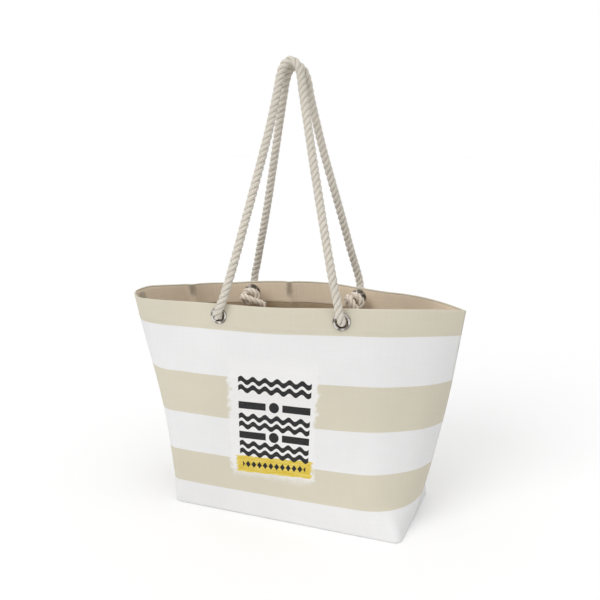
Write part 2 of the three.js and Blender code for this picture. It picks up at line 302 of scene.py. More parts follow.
def makePrintMasks(w, across, up, place):
    # across and up are measured from the middle of the print, in metres
    v = printValues
    half = v["halfWidth"]
    speckle = w.noise(place, 330.0, 5.0, 0.75)
    torn = w.minus(w.noise(place, 75.0, 6.0, 0.7), 0.5)

    def away(value, middle):
        return w.math("ABSOLUTE", w.minus(value, middle))

    def within(value, middle, reach):
        return w.math("LESS_THAN", away(value, middle), reach)

    swell = w.math("SINE", w.times(across, 2 * math.pi / v["waveLength"]))
    swollen = w.linear(swell, -v["waveSwell"], up)
    ink = 0.0
    for row in v["waveRows"]:  # two thick waves in each row
        ink = w.plus(within(away(swollen, row), v["waveApart"], v["waveHalf"]), ink)
    for row in v["barRows"]:  # a bar each side of a round pebble
        beside = w.math("GREATER_THAN", away(across, 0.0), v["barStart"])
        bar = w.times(within(up, row, v["barHalf"]), beside)
        rise = w.math("POWER", w.minus(up, row), 2.0)
        distance = w.plus(w.math("POWER", across, 2.0), rise)
        pebble = w.math("LESS_THAN", distance, v["pebble"] ** 2)
        ink = w.plus(w.math("MAXIMUM", bar, pebble), ink)
    ink = w.times(ink, within(across, 0.0, half))
    tilted = w.linear(across, v["strokeTilt"], up)
    steps = w.times(across, 1 / v["diamondApart"])
    slope = w.times(away(tilted, v["strokeRow"]), v["diamondSlope"])
    diamond = w.plus(away(w.math("FRACT", steps), 0.5), slope)
    diamonds = w.math("LESS_THAN", diamond, v["diamondSize"])
    diamonds = w.times(diamonds, within(across, 0.0, half - 0.004))
    ink = w.plus(ink, diamonds, clamp=True)
    ink = w.times(ink, w.ramp(speckle, 0.30, 0.40, 0.75, 1.0))
    bristles = w.noise(w.stretch(place, (26, 520, 1)), 1.0, 3.0, 0.7)
    reach = w.linear(w.minus(bristles, 0.5), 0.02, half + v["strokeOver"])
    tall = w.linear(torn, 0.006, v["strokeHalf"])
    stroke = w.times(within(across, 0.0, reach), within(tilted, v["strokeRow"], tall))
    margin = w.minus(half + v["filmOver"], away(across, v["filmMiddle"]))
    ends = w.ramp(w.linear(torn, 0.030, margin), 0.0, 0.005)
    below = w.ramp(w.linear(torn, 0.02, up), *v["filmBottom"])
    above = w.ramp(w.linear(torn, 0.03, up), *v["filmTop"], 1.0, 0.0)
    film = w.times(ends, w.times(below, above))
    film = w.times(film, w.ramp(speckle, 0.3, 0.52, 0.55, 0.95))
    return ink, stroke, film, bristles


def makeCanvas(name, printed):
    material, w, shader = newMaterial(name, 0.82, sheen=0.05)
    place = w.place("clothPlace")
    spot = w.spot()
    across, up = w.split(place)[:2]
    weave = w.group(clothWeave, Place=place, Threads=clothValues["threads"])
    tone = w.group(handling, Place=spot, Scale=7.0)["Tone"]
    ragged = w.times(w.minus(w.noise(place, 900.0, 1.0), 0.5), 0.0009)
    level = w.plus(up, ragged)
    whiteness = 0.0
    for edge, sign in zip(clothValues["stripeEdges"], (-1, 1, -1, 1, -1)):
        whiteness = w.linear(w.math("GREATER_THAN", level, edge), sign, whiteness)
    isWhite = w.plus(whiteness, 1.0, clamp=True)
    color = w.mix(isWhite, clothValues["beige"], clothValues["white"])
    rough = w.noise(place, 140.0, 4.0, 0.7)
    if printed:
        middleAcross, middleUp = printValues["middle"]
        ink, stroke, film, bristles = makePrintMasks(
            w, w.minus(across, middleAcross), w.minus(up, middleUp), place)
        color = w.mix(film, color, printValues["film"])
        paint = w.mix(w.ramp(bristles, 0.42, 0.68), printValues["mustard"], printValues["paleMustard"])
        color = w.mix(stroke, color, paint)
        color = w.mix(ink, color, printValues["charcoal"])
    toneShade = clothValues["toneShade"]
    shade = w.linear(weave["Shade"], clothValues["weaveShade"], 1.0 - toneShade)
    shade = w.linear(tone, toneShade, shade)
    w.plug(shader.inputs["Base Color"], scaleColor(w, color, shade))
    w.plug(shader.inputs["Roughness"], w.linear(rough, 0.2, 0.72))
    addBump(w, shader, weave["Height"], clothValues["bumpStrength"], clothValues["bumpDistance"])
    return material


creaseShadeValues = {  # metres; painted shade along sharp creases where the back was folded, on the facing inside the mouth
    "places": (-0.170, -0.025),
    "halfWidth": 0.0075,
    "bottom": (0.283, 0.297),
    "shade": 0.5,
}


def makeCreaseShade(w, spot):
    # painted shade: 1 in a crease of the back's facing, 0 away from them
    v = creaseShadeValues
    x, y, z = w.split(spot)
    uneven = w.linear(w.noise(spot, 120.0, 3.0), 0.006, -0.003)
    across = w.plus(x, uneven)
    creaseShadow = 0.0
    for place in v["places"]:
        away = w.math("ABSOLUTE", w.minus(across, place))
        creaseShadow = w.plus(creaseShadow, w.ramp(away, 0.001, v["halfWidth"], 1.0, 0.0))
    near = w.times(w.math("GREATER_THAN", y, 0.02), w.ramp(z, *v["bottom"]))
    return w.times(creaseShadow, near)


def makePlainCloth(name, color, threads, strength, toneShade, creaseShaded=False):
    material, w, shader = newMaterial(name, 0.88, sheen=0.15)
    place = w.place("clothPlace")
    spot = w.spot()
    weave = w.group(clothWeave, Place=place, Threads=threads)
    tone = w.group(handling, Place=spot, Scale=11.0)["Tone"]
    shade = w.linear(weave["Shade"], 0.11, 1.0 - toneShade)
    shade = w.linear(tone, toneShade, shade)
    if creaseShaded:
        # painted shade darkens the facing along its creases
        shadeInCreases = w.linear(makeCreaseShade(w, spot), -creaseShadeValues["shade"], 1.0)
        shade = w.times(shade, shadeInCreases)
    w.plug(shader.inputs["Base Color"], scaleColor(w, color, shade))
    w.plug(shader.inputs["Roughness"], w.linear(tone, 0.08, 0.82))
    addBump(w, shader, weave["Height"], strength, 0.0004)
    return material


def makeThread(name, color):
    material, w, shader = newMaterial(name, 0.7)
    spot = w.spot()
    ply = w.noise(w.stretch(spot, (2600, 2600, 3400)), 1.0, 1.0)
    w.plug(shader.inputs["Base Color"], scaleColor(w, color, w.linear(ply, 0.3, 0.8)))
    addBump(w, shader, ply, 0.5, 0.0002)
    return material


frontCanvas = makeCanvas("frontCanvas", True)
backCanvas = makeCanvas("backCanvas", False)
threads = clothValues["threads"]
baseCanvas = makePlainCloth("baseCanvas", clothValues["white"], threads, 0.3, 0.07)
facingCanvas = makePlainCloth("facingCanvas", clothValues["facing"], threads, 0.35, 0.08, creaseShaded=True)
liningCloth = makePlainCloth("liningCloth", clothValues["lining"], 1700.0, 0.35, 0.14)
tapeCloth = makePlainCloth("tapeCloth", clothValues["tape"], 1500.0, 0.5, 0.08)
paleThread = makeThread("paleThread", clothValues["thread"])


bagShape = {  # millimetres, as in the frame
    "rimHalfLength": 240, "rimDepths": (88, 84), "rimSetBack": -3.4,
    "rimHeight": 311, "rimEndDrop": 11, "roundness": (0.6, 0.9), "rimFullness": 2.2,
    "baseHalfLength": 171, "baseHalfDepth": 82, "cornerRadius": 9,
    "wallRadii": ((16, 65), (16, 25)), "wallCornerUp": 0.15,
    "baseShift": 12.6, "baseTurn": math.radians(-9), "panelBulge": 6,
    "eyeletPlaces": (-83, 83), "calmReach": 17,  # the cloth lies flat round each eyelet
    "perimeter": 1075, "ripples": 14, "seed": 7,
}

# how much the rim stands above or below its plain line, from left to right
rimLift = (
    ((-240, 3.5), (-232, 0.8), (-200, 0.1), (-160, 0.9), (-120, 1.4), (-80, 1.0), (-30, -0.6), (0, -0.9),
     (40, 0.6), (80, 2.2), (160, 2.9), (200, 1.9), (240, -1.2)),
    ((-240, 3.5), (-237, 5.2), (-231, 6.6), (-216, 5.4), (-200, 3.4), (-160, 0.8), (-120, -0.5), (-80, 0.5),
     (0, 0.9), (40, 1.2), (80, -1.2), (120, -1.6), (160, 0.0), (200, 0.2), (240, -1.2)),
)

# soft folds: panel, place along it, width, share of the height where strongest, reach, how far out
folds = (
    (0, -150, 26, 0.72, 0.34, -1.8), (0, -60, 34, 0.30, 0.30, 1.2), (0, 20, 40, 0.86, 0.25, -1.4),
    (0, 118, 30, 0.70, 0.30, 1.6), (0, 175, 24, 0.55, 0.35, -1.8), (0, -205, 16, 0.60, 0.30, 1.6),
    (1, -170, 7, 0.92, 0.22, -4.2), (1, -142, 18, 0.85, 0.30, 3.0), (1, -25, 6, 0.92, 0.22, -4.4),
    (1, 4, 18, 0.80, 0.35, 3.0), (1, 120, 22, 0.75, 0.35, -2.6), (1, 178, 22, 0.60, 0.35, 2.2),
)


def smoothLine(knots, x):
    # smooth curve through a few chosen points
    xs = np.array([k[0] for k in knots], float)
    ys = np.array([k[1] for k in knots], float)
    slopes = np.gradient(ys, xs)
    i = np.clip(np.searchsorted(xs, x) - 1, 0, len(xs) - 2)
    h = xs[i + 1] - xs[i]
    t = np.clip((x - xs[i]) / h, 0, 1)
    start = (1 + 2 * t) * (1 - t) ** 2 * ys[i] + t * (1 - t) ** 2 * h * slopes[i]
    return start + t * t * (3 - 2 * t) * ys[i + 1] + t * t * (t - 1) * h * slopes[i + 1]


def smoothStep(x, low, high):
    t = np.clip((x - low) / (high - low), 0, 1)
    return t * t * (3 - 2 * t)


def rimPoint(t, side, inset):
    s = bagShape
    along = -np.cos(np.pi * t)
    left, right = s["roundness"]
    roundness = left + (right - left) * smoothStep(along, -0.5, 0.5)
    out = np.maximum(0, 1 - np.abs(along) ** s["rimFullness"]) ** roundness
    depth = s["rimDepths"][side] - inset
    return (s["rimHalfLength"] - 1.25 * inset) * along, s["rimSetBack"] + (2 * side - 1) * depth * out


def basePath(left, right):
    # half of the base's outline with a left and a right corner of their own radius
    x, y = bagShape["baseHalfLength"], bagShape["baseHalfDepth"]
    turns = np.linspace(0, math.pi / 2, 25)
    first = np.stack([-x + left * (1 - np.cos(turns)), y - left * (1 - np.sin(turns))], 1)
    second = np.stack([x - right * (1 - np.sin(turns)), y - right * (1 - np.cos(turns))], 1)
    return np.concatenate([[(-x, 0)], first, second, [(x, 0)]])


def lengthsAlong(points):
    return np.concatenate([[0.0], np.cumsum(np.linalg.norm(np.diff(points, axis=0), axis=1))])


rimSteps = np.linspace(0, 1, 401)
rimLengths = [lengthsAlong(np.stack(rimPoint(rimSteps, side, 0.0), 1)) for side in (0, 1)]
floorPath = basePath(bagShape["cornerRadius"], bagShape["cornerRadius"])
wallPaths = [basePath(*radii) for radii in bagShape["wallRadii"]]
rng = np.random.default_rng(bagShape["seed"])
ripples = [(rng.integers(2, 9), rng.uniform(0.6, 2.2), rng.uniform(0, 6.28), rng.uniform(0.12, 0.34))
           for _ in range(bagShape["ripples"])]


def bagFace(around, up, inset=0.0):
    # around 0 to 0.5 is the front from left to right, 0.5 to 1 the back from right to left;
    # up is 0 at the floor and 1 at the rim; inset is how far inside the outer face; all in arrays
    s = bagShape
    around, up, inset = np.broadcast_arrays(
        np.asarray(around, float), np.asarray(up, float), np.asarray(inset, float))
    turn = np.mod(around, 1.0)
    side = (turn > 0.5).astype(int)
    along = np.where(side == 1, 2 - 2 * turn, 2 * turn)
    rimX, rimY = np.zeros_like(turn), np.zeros_like(turn)
    for half in (0, 1):
        t = np.interp(along * rimLengths[half][-1], rimLengths[half], rimSteps)
        x, y = rimPoint(t, half, inset)
        rimX, rimY = np.where(side == half, x, rimX), np.where(side == half, y, rimY)
    grown = smoothStep(up, 0, s["wallCornerUp"])
    baseX, baseY = np.zeros_like(turn), np.zeros_like(turn)
    for half, wallPath in enumerate(wallPaths):
        for path, share in ((floorPath, 1 - grown), (wallPath, grown)):
            lengths = lengthsAlong(path)
            share = share * (side == half)
            baseX = baseX + share * np.interp(along * lengths[-1], lengths, path[:, 0])
            baseY = baseY + share * np.interp(along * lengths[-1], lengths, path[:, 1])
    baseX = baseX * (1 - inset / s["baseHalfLength"])
    baseY = baseY * (2 * side - 1) * (1 - inset / s["baseHalfDepth"])
    cos, sin = math.cos(s["baseTurn"]), math.sin(s["baseTurn"])
    turnedX = baseX * cos - baseY * sin + s["baseShift"]
    turnedY = baseX * sin + baseY * cos
    x = turnedX + (rimX - turnedX) * up
    y = turnedY + (rimY - turnedY) * up
    outX, outY = x / s["rimHalfLength"] ** 2, y / s["baseHalfDepth"] ** 2
    size = np.hypot(outX, outY) + 1e-12
    out = s["panelBulge"] * 4 * up * (1 - up)
    loose = smoothStep(up, 0.02, 0.3)
    for panel, middle, width, height, reach, push in folds:
        shape = np.exp(-((rimX - middle) / width) ** 2) * np.exp(-((up - height) / reach) ** 2)
        out = out + np.where(side == panel, push * shape, 0.0) * calm(rimX, up) * loose
    for waves, climb, phase, push in ripples:
        out = out + push * loose * np.sin(2 * np.pi * (waves * turn + climb * up) + phase)
    lift = np.where(side == 0, smoothLine(rimLift[0], rimX), smoothLine(rimLift[1], rimX))
    top = s["rimHeight"] - s["rimEndDrop"] * (rimX / s["rimHalfLength"]) ** 2
    top = top + lift * smoothStep(up, 0.55, 1.0)
    return np.stack([x + out * outX / size, y + out * outY / size, up * top], -1) * mm


def calm(x, up):
    # 0 at an eyelet, where the cloth is clamped flat, and 1 away from it
    near = sum(np.exp(-((x - place) / bagShape["calmReach"]) ** 2) for place in bagShape["eyeletPlaces"])
    return 1 - near * smoothStep(up, 0.78, 0.9)


def newPiece(name, points, faces, material):
    mesh = bpy.data.meshes.new(name)
    mesh.from_pydata([tuple(p) for p in points], [], faces)
    mesh.materials.append(material)
    mesh.polygons.foreach_set("use_smooth", [True] * len(mesh.polygons))
    mesh.update()
    return link(bpy.data.objects.new(name, mesh))


def cornerPoints(piece):
    # the point that each corner of each face stands on
    corners = np.zeros(len(piece.data.loops), int)
    piece.data.loops.foreach_get("vertex_index", corners)
    return corners


def writePlace(piece, name, uvs):
    layer = piece.data.uv_layers.new(name=name)
    layer.data.foreach_set("uv", np.asarray(uvs, np.float32).ravel())


def sweepCloth(name, material, span, columns, profile):
    # cloth between two places round the bag, with a closed profile of (inset mm, height mm) points
    isRing = span[1] - span[0] >= 0.9999
    count = columns if isRing else columns + 1
    around = np.linspace(*span, columns + 1)[:count]
    insets = np.array([p[0] for p in profile])[:, None]
    ups = np.array([p[1] for p in profile])[:, None] / bagShape["rimHeight"]
    points = bagFace(around[None, :], ups, insets)
    rows = len(profile)
    faces = []
    for j in range(rows):
        k = (j + 1) % rows
        for i in range(columns):
            n = (i + 1) % count
            faces.append((j * count + i, j * count + n, k * count + n, k * count + i))
    if not isRing:
        faces.append(tuple(j * count for j in range(rows)))
        faces.append(tuple(j * count + columns for j in reversed(range(rows))))
    piece = newPiece(name, points.reshape(-1, 3), faces, material)
    middle = 0.25 if (span[0] + span[1]) / 2 < 0.5 else 0.75
    place = np.zeros((rows, count, 2))
    place[..., 0] = (around[None, :] - middle) * bagShape["perimeter"] * mm
    place[..., 1] = ups * bagShape["rimHeight"] * mm
    writePlace(piece, "clothPlace", place.reshape(-1, 2)[cornerPoints(piece)])
    return piece


def wallProfile(outer, inner, bottom, top, rows, roll=0.0):
    # up the outside, over a rounded top edge, down the inside, and round or rolled under at the bottom
    half = (inner - outer) / 2
    heights = np.linspace(bottom + max(roll, half), top - half, rows)
    turns = np.linspace(math.pi, 0, 7)[1:-1]
    crown = [(outer + half + half * math.cos(a), top - half + half * math.sin(a)) for a in turns]
    outside = [(outer, h) for h in heights]
    inside = [(inner, h) for h in heights[::-1]]
    if not roll:
        edge = [(outer + half - half * math.cos(a), bottom + half - half * math.sin(a)) for a in turns]
        return outside + crown + inside + edge
    under = np.linspace(math.pi / 2, 0, 5)[:-1]

    def foot(radius, angles):
        return [(outer + roll - radius * math.cos(a), bottom + roll - radius * math.sin(a)) for a in angles]

    return foot(roll, under) + outside + crown + inside + foot(roll - 2 * half, under[::-1])


eyeletValues = {  # millimetres
    "hole": 7.9, "wall": 0.6, "flange": 11.6, "rise": 1.8, "lift": 0.4, "foot": -5.3,
    "washerMiddle": 4.8, "washerBore": 8.8, "washerThickness": 1.0, "clothHole": 8.9,
    "shoulder": 0.75, "segments": 60,
}
eyeletNames = ("front_left", "front_right", "back_left", "back_right")


def nodeMiddle(name):
    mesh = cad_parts[name].data
    points = np.zeros(len(mesh.vertices) * 3)
    mesh.vertices.foreach_get("co", points)
    return points.reshape(-1, 3).mean(0)


def findEyelet(name):
    # the middle of an eyelet on the cloth's outer face, and its outward direction
    washer = nodeMiddle(name + "_washer")
    outward = nodeMiddle(name + "_eyelet") - washer
    outward /= np.linalg.norm(outward)
    return washer + outward * eyeletValues["washerMiddle"] * mm, outward


eyelets = {name: findEyelet(name) for name in eyeletNames}


def sideways(outward):
    # level direction along the cloth, towards +X, and the direction up the cloth
    level = np.cross(outward, (0, 0, 1.0))
    level *= np.sign(level[0]) / np.linalg.norm(level)
    rise = np.cross(level, outward)
    return level, rise * np.sign(rise[2])


def turnPiece(name, profile, centre, outward, material):
    # a closed (radius, height) profile in millimetres, turned round an eyelet's axis
    level, rise = sideways(outward)
    if np.dot(np.cross(level, rise), outward) < 0:
        level = -level
    count = eyeletValues["segments"]
    points = []
    for i in range(count):
        a = 2 * math.pi * i / count
        spoke = level * math.cos(a) + rise * math.sin(a)
        points += [centre + (spoke * r + outward * h) * mm for r, h in profile]
    rows = len(profile)
    faces = []
    for i in range(count):
        n = (i + 1) % count
        for j in range(rows):
            k = (j + 1) % rows
            faces.append((i * rows + j, n * rows + j, n * rows + k, i * rows + k))
    return newPiece(name, points, faces, material)


def eyeletProfile():
    e = eyeletValues
    hole, flange, lift, foot, shoulder = (e[key] for key in ("hole", "flange", "lift", "foot", "shoulder"))
    turns = np.linspace(math.pi, 0, 13)[1:-1]
    middle, half = (hole + flange) / 2, (flange - hole) / 2
    swell = e["rise"] - shoulder
    crown = [(middle + half * math.cos(a), shoulder + swell * math.sin(a) ** 0.8) for a in turns]
    neck = hole + e["wall"]
    upward = [(hole, foot + 0.2), (hole, -2.0), (hole, 0.6)]
    under = [(flange, shoulder), (flange - 0.12, lift + 0.06), (flange - 0.4, lift)]
    inward = [(neck + 0.2, lift), (neck, lift - 0.2), (neck, foot + 0.15), (neck - 0.2, foot)]
    return (upward + crown + under + inward + [(hole + 0.15, foot)])[::-1]


def washerProfile():
    e = eyeletValues
    top = e["washerThickness"] / 2 - e["washerMiddle"]
    low = top - e["washerThickness"]
    bore, rim = e["washerBore"], e["flange"]
    return [(bore, low + 0.25), (bore, top - 0.1), (bore + 0.1, top), (rim - 0.1, top), (rim, top - 0.15),
            (rim - 0.1, low + 0.4), (rim - 0.6, low + 0.08), (rim - 1.2, low), (bore + 0.4, low)]


def markRing(piece, profile):
    # gives a turned ring its place round the eyelet, 0 to 1, and its radius in millimetres
    rows, count = len(profile), eyeletValues["segments"]
    radii = [r for r, _ in profile]
    uvs = []
    for i in range(count):
        for j in range(rows):
            k = (j + 1) % rows
            uvs += [(i / count, radii[j]), ((i + 1) / count, radii[j]),
                    ((i + 1) / count, radii[k]), (i / count, radii[k])]
    writePlace(piece, "ringPlace", uvs)


nickelValues = {
    "paintedHighlight": (0.80, 0.775, 0.74),
    "paintedDarkReflection": (0.10, 0.075, 0.055),
    "boreEdge": (7.9, 8.7),  # radii between which the painted dark reflection of the bore gives way to the painted highlight
    "rimEdge": (10.7, 11.5),  # and between which the painted dark reflection comes back at the rim
}


def makeNickel():
    # painted reflection: painted highlights on the crown, with painted dark reflections in stretches round it
    # and at the bore and rim
    v = nickelValues
    material, w, shader = newMaterial("nickelPlate", 0.2, 1.0)
    around, radius = w.split(w.place("ringPlace"))[:2]
    turn = w.times(around, 2 * math.pi)
    slow, quick = (w.math("SINE", w.linear(turn, *wave)) for wave in ((2.0, 0.4), (5.0, 1.9)))
    waves = w.plus(slow, quick)
    crown = w.times(w.ramp(radius, *v["boreEdge"], 0.1, 1.0), w.ramp(radius, *v["rimEdge"], 1.0, 0.15))
    # painted glints and painted dark reflections, in waves round the ring
    paintedGlint = w.times(crown, w.ramp(waves, -0.7, 0.5, 0.25, 1.0))
    spot = w.spot()
    scuffs = w.noise(w.stretch(spot, (900, 900, 2400)), 1.0, 4.0, 0.7)
    stains = w.noise(spot, 260.0, 2.0)
    tone = w.linear(w.ramp(stains, 0.35, 0.7), 0.14, 0.86)
    color = w.mix(paintedGlint, v["paintedDarkReflection"], v["paintedHighlight"])
    w.plug(shader.inputs["Base Color"], scaleColor(w, color, tone))
    w.plug(shader.inputs["Roughness"], w.ramp(scuffs, 0.3, 0.75, 0.14, 0.34))
    addBump(w, shader, scuffs, 0.12, 0.0001)
    return material


def dress(piece, nodes):
    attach(piece, "bag")
    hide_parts(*nodes)


nickelPlate = makeNickel()
for name, (centre, outward) in eyelets.items():
    for kind, profile in (("eyelet", eyeletProfile()), ("washer", washerProfile())):
        piece = turnPiece(f"{name}_{kind}_ring", profile, centre, outward, nickelPlate)
        markRing(piece, profile)
        dress(piece, [f"{name}_{kind}"])
print("eyelets ready")


ropeValues = {  # millimetres
    "radius": 6.0, "strandRadius": 3.18, "strandOffset": 2.82, "pitch": 26.0, "strands": 3,
    "sides": 12, "step": 1.6, "yarnPitch": 29.5, "yarns": 12,
    "innerEnd": 17.0,  # how far behind the cloth a handle's rope ends, inside its knot
    "mouth": 6.4,  # where it turns up, outside the cloth
    "mouthLift": 1.4,
    "phases": {"front": 0.6, "back": 1.9},  # where its strands start round it
}

# centre line of each handle, from its left eyelet over the top to its right eyelet, as in the frame
handleRoutes = {
    "front": [
        (-79.5, -94.6, 306), (-74.2, -94, 319), (-70, -91.8, 333), (-64, -84.4, 357), (-51, -65.2, 418),
        (-37.4, -45.6, 482), (-25, -26.2, 545), (-18.2, -12.6, 590), (-16, -8, 607), (-11.2, -6.8, 620.4),
        (-2, -6.6, 626.3), (7.2, -6.8, 620.4), (11.8, -8, 607), (15, -12.6, 590), (25, -26.2, 545),
        (39, -45.6, 483), (54, -65.2, 419), (69, -84.4, 358), (75.6, -91.8, 333), (79.2, -94, 319),
        (81.4, -94.6, 306),
    ],
    "back": [
        (-84, 92, 306), (-82.8, 91.8, 319), (-79, 89.2, 332), (-71.2, 80.4, 362), (-60.3, 68.2, 402),
        (-50.8, 57, 440), (-34.4, 36.4, 510), (-22.6, 21, 560), (-17, 14, 583), (-12.4, 9.4, 602),
        (-6.8, 7.4, 614.6), (2.4, 7, 620.6), (11.6, 7.4, 614.6), (16.8, 9.4, 602), (19.6, 14, 583),
        (23.6, 21, 560), (33.4, 36.4, 510), (50, 57, 440), (59, 68.2, 402), (68, 80.4, 362),
        (75.6, 89.2, 332), (79, 91.8, 319), (81.4, 92, 306),
    ],
}


def between(first, second, low, high, t):
    return (high - t) / (high - low) * first + (t - low) / (high - low) * second


def smoothRoute(points, perSegment=24):
    # centripetal curve through the points
    p = np.asarray(points, float)
    p = np.concatenate([[2 * p[0] - p[1]], p, [2 * p[-1] - p[-2]]])
    pieces = []
    for i in range(1, len(p) - 2):
        gaps = np.linalg.norm(np.diff(p[i - 1:i + 3], axis=0), axis=1) ** 0.5
        t0, t1, t2, t3 = 0, gaps[0], gaps[0] + gaps[1], gaps.sum()
        t = np.linspace(t1, t2, perSegment, endpoint=False)[:, None]
        before = between(p[i - 1], p[i], t0, t1, t)
        here = between(p[i], p[i + 1], t1, t2, t)
        after = between(p[i + 1], p[i + 2], t2, t3, t)
        early, late = between(before, here, t0, t2, t), between(here, after, t1, t3, t)
        pieces.append(between(early, late, t1, t2, t))
    return np.concatenate(pieces + [p[-2:-1]])


def evenSteps(points, step):
    lengths = lengthsAlong(points)
    places = np.linspace(0, lengths[-1], max(3, int(round(lengths[-1] / step)) + 1))
    return np.stack([np.interp(places, lengths, points[:, k]) for k in range(3)], 1)


def unit(vectors):
    return vectors / np.linalg.norm(vectors, axis=1)[:, None]


def carriedFrames(line):
    # two directions across the line at each point, carried along it without twist
    tangents = unit(np.gradient(line, axis=0))
    first = np.zeros_like(line)
    start = np.cross(tangents[0], (0.31, 0.12, 0.94))
    first[0] = start / np.linalg.norm(start)
    for i in range(1, len(line)):
        moved = first[i - 1] - tangents[i] * np.dot(first[i - 1], tangents[i])
        first[i] = moved / np.linalg.norm(moved)
    return first, np.cross(tangents, first)


def layRope(name, line, material, phase=0.0, taper=0.0, girth=1.0):
    # a laid rope of three strands round a centre line in metres; each strand is a closed tube
    v = ropeValues
    lengths = lengthsAlong(line)
    first, second = carriedFrames(line)
    offset, radius = v["strandOffset"] * mm * girth, v["strandRadius"] * mm * girth
    sides, count = v["sides"], len(line)
    spread = 1 + taper * smoothStep(lengths, lengths[-1] - 0.008, lengths[-1])
    points, faces, uvs = [], [], []
    for strand in range(v["strands"]):
        turn = 2 * np.pi * (lengths / (v["pitch"] * mm) + strand / v["strands"]) + phase
        radial = first * np.cos(turn)[:, None] + second * np.sin(turn)[:, None]
        core = line + radial * (offset * spread)[:, None]
        along = unit(np.gradient(core, axis=0))
        outward = unit(radial - along * np.sum(radial * along, axis=1)[:, None])
        beside = np.cross(along, outward)
        run = lengthsAlong(core)
        base = strand * count * sides
        angles = 2 * np.pi * np.arange(sides) / sides
        ring = (core[:, None, :] + radius * (np.cos(angles)[None, :, None] * outward[:, None, :]
                                             + np.sin(angles)[None, :, None] * beside[:, None, :]))
        points.append(ring.reshape(-1, 3))
        for i in range(count - 1):
            for j in range(sides):
                n = (j + 1) % sides
                faces.append((base + i * sides + j, base + i * sides + n,
                              base + (i + 1) * sides + n, base + (i + 1) * sides + j))
                uvs += [(j / sides, run[i]), ((j + 1) / sides, run[i]),
                        ((j + 1) / sides, run[i + 1]), (j / sides, run[i + 1])]
        for i, order in ((0, range(sides - 1, -1, -1)), (count - 1, range(sides))):
            faces.append(tuple(base + i * sides + j for j in order))
            uvs += [(j / sides, run[i]) for j in order]
    piece = newPiece(name, np.concatenate(points), faces, material)
    writePlace(piece, "strandPlace", uvs)
    return piece


def makeRopeMaterial(name, color, deepestShade):
    # yarns wind round each strand against its lay; painted shade darkens the dips between yarns and the
    # grooves between strands
    material, w, shader = newMaterial(name, 0.9, sheen=0.25, sheenRoughness=0.6)
    spot = w.spot()
    around, along = w.split(w.place("strandPlace"))[:2]
    yarns = w.linear(along, -1 / (ropeValues["yarnPitch"] * mm), around)
    wave = w.ridges(yarns, ropeValues["yarns"])
    outside = w.math("COSINE", w.times(around, 2 * math.pi))
    # painted shade in the grooves, on the strand faces turned in towards the rope's middle
    grooveShade = w.ramp(outside, -0.25, 0.6, deepestShade, 1.0)
    fluff = w.noise(spot, 1500.0, 3.0, 0.7)
    height = w.linear(fluff, 0.5, wave)
    tone = w.group(handling, Place=spot, Scale=22.0)["Tone"]
    shade = w.linear(w.math("POWER", wave, 0.5), 0.2, 0.76)
    shade = w.linear(tone, 0.06, shade)
    shade = w.times(w.linear(fluff, 0.08, shade), grooveShade)
    w.plug(shader.inputs["Base Color"], scaleColor(w, color, shade))
    w.plug(shader.inputs["Roughness"], w.linear(fluff, 0.2, 0.75))
    addBump(w, shader, height, 0.55, 0.0006)
    return material


cottonRope = makeRopeMaterial("cottonRope", (0.67, 0.62, 0.535), 0.46)
knotRopeLitCopy = makeRopeMaterial("knotRopeLitCopy", (0.84, 0.74, 0.62), 0.55)  # a brighter, warmer copy of the rope for the knots inside the bag, painted light, with shallower painted groove shade


def eyeletEnd(side, end):
    # a handle's centre line from inside the bag, through one eyelet, to where it turns up
    centre, outward = eyelets[f"{side}_{end}"]
    points = [centre + outward * d * mm for d in (-ropeValues["innerEnd"], -8, 0, ropeValues["mouth"])]
    points[-1] = points[-1] + np.array((0, 0, ropeValues["mouthLift"] * mm))
    return points


def handleLine(side):
    middle = [np.array(p) * mm for p in handleRoutes[side]]
    points = eyeletEnd(side, "left") + middle + eyeletEnd(side, "right")[::-1]
    return evenSteps(smoothRoute(points), ropeValues["step"] * mm)


for side, towards in (("front", -1), ("back", 1)):
    line = handleLine(side)
    rope = layRope(f"{side}_handle_rope", line, cottonRope, phase=ropeValues["phases"][side])
    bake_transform(rope)
    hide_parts(f"{side}_rope")
    print(side, "handle rope is", round(float(lengthsAlong(line)[-1]), 4), "m")


# the rope of one knot: along the cloth, up it, and away from it into the bag, from the knot's middle
knotRoute = [
    (0, 0, -7), (0, 0, -3), (-3, 2, 1), (-7, 6, 3), (-4, 10, 4), (4, 10, 4), (10, 6, 4), (11, -1, 3),
    (7, -7, 2), (0, -9, 0), (-8, -7, 0), (-11, -1, 2), (-9, 3, 7), (-4, 3, 11), (4, -1, 12),
    (11, -5, 10), (17, -9, 7), (21, -14, 4),
]
knotValues = {
    "depth": 22.0,  # millimetres behind the cloth
    "drop": {"front": 5.0, "back": 2.5},  # and below the eyelet's middle
    "turns": {"front_left": -48, "front_right": -66, "back_left": 4, "back_right": -30},  # degrees
    "tightness": 0.84,  # a pulled knot squeezes its rope thinner
    "fray": 0.35,  # how much the strands open at the cut end
}

for name, (centre, outward) in eyelets.items():
    level, rise = sideways(outward)
    turn = math.radians(knotValues["turns"][name])
    across = level * math.cos(turn) + rise * math.sin(turn)
    up = rise * math.cos(turn) - level * math.sin(turn)
    drop = knotValues["drop"][name.split("_")[0]]
    middle = centre - outward * knotValues["depth"] * mm - rise * drop * mm
    line = [middle + (across * s + up * u - outward * d) * mm for s, u, d in knotRoute]
    line = evenSteps(smoothRoute(line), ropeValues["step"] * mm)
    knot = layRope(f"{name}_stopper_knot", line, knotRopeLitCopy,
                   taper=knotValues["fray"], girth=knotValues["tightness"])
    dress(knot, [f"{name}_knot"])
    print(name, "knot takes", round(float(lengthsAlong(line)[-1]), 4), "m of rope")


